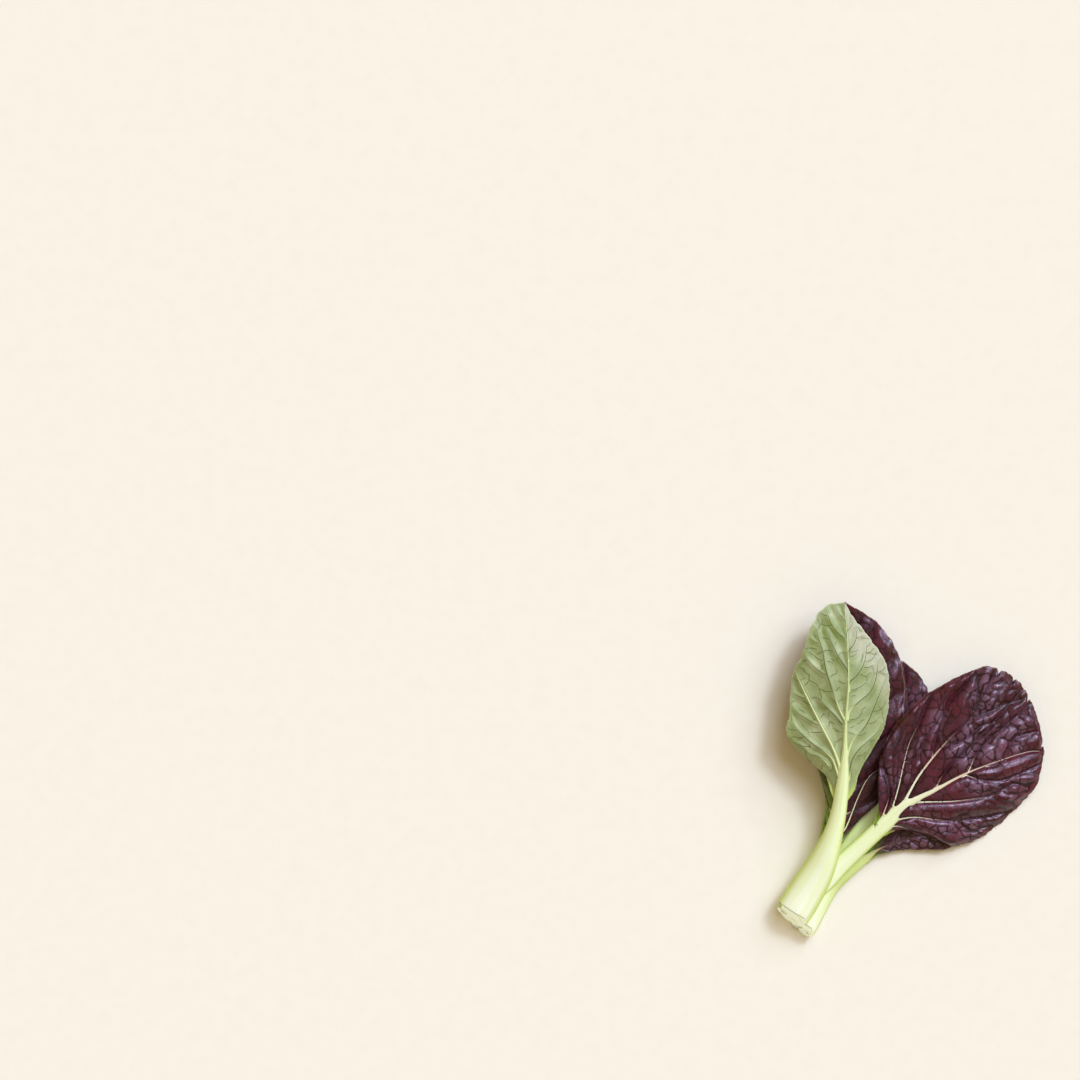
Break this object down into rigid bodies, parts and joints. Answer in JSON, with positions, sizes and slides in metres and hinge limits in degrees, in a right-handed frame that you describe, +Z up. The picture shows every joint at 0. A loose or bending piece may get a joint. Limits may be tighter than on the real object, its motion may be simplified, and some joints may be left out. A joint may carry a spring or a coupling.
{
  "type": "red bok choy head",
  "caption": "Small cut head of red bok choy lying loose: pale juicy stalks round a short core, one leaf green side up, the others dark purple.",
  "frame": {"origin": "middle of the bounding box in plan, on the surface the head lies on", "axes": "+Z up from the surface, +Y towards the front leaf's tip, +X towards the right leaf's tip"},
  "size_m": [0.0798, 0.1005, 0.0173],
  "materials": {
    "core": "moist cut face, pale cream-green",
    "stalk": "smooth, satin, pale green with fine lengthwise streaks",
    "blade_green": "matt grey-green leaf underside",
    "blade_purple": "satin, puckered, dark purple-brown leaf top"
  },
  "bodies": {
    "root": {"core": "core", "front_stalk": "stalk", "front_blade": "blade_green", "right_stalk": "stalk", "right_blade": "blade_purple", "back_stalk": "stalk", "back_blade": "blade_purple", "under_stalk": "stalk", "under_blade": "blade_purple", "side_stalk": "stalk", "side_blade": "blade_purple"}
  },
  "joints": []
}
